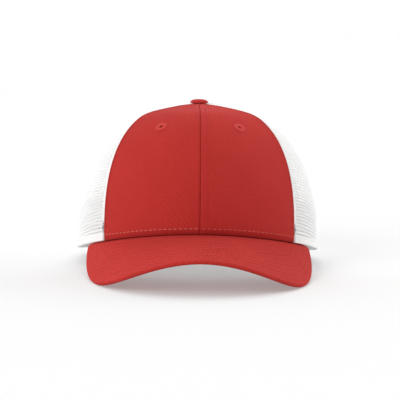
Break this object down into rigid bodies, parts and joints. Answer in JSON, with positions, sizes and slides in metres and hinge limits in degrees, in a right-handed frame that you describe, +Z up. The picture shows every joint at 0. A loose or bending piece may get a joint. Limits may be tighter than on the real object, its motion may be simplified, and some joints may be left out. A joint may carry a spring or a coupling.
{
  "type": "trucker hat",
  "caption": "Structured cap with stiff cotton front panels, open mesh sides and back, a curved visor and a snap strap across the back opening.",
  "frame": {"origin": "middle of the hat's outline seen from above, on the surface it lies on", "axes": "+Z up, -Y towards the front of the visor, +X to the right as seen from the front; the hat lies tilted back on its visor corners and the back of its rim"},
  "size_m": [0.1784, 0.2742, 0.1191],
  "materials": {
    "red_twill": "matte red cotton twill",
    "red_thread": "red embroidery thread",
    "white_mesh": "white knitted polyester net",
    "white_tape": "white woven edging tape",
    "white_band": "off-white padded cotton band",
    "white_plastic": "satin white moulded strap"
  },
  "bodies": {
    "root": {"front_panel_left": "red_twill", "front_panel_right": "red_twill", "visor": "red_twill", "button": "red_twill", "eyelet_left": "red_thread", "eyelet_right": "red_thread", "mesh_side_left": "white_mesh", "mesh_side_right": "white_mesh", "mesh_back_left": "white_mesh", "mesh_back_right": "white_mesh", "hem_left": "white_tape", "hem_right": "white_tape", "opening_binding": "white_tape", "sweatband": "white_band", "back_strap": "white_plastic"}
  },
  "joints": []
}
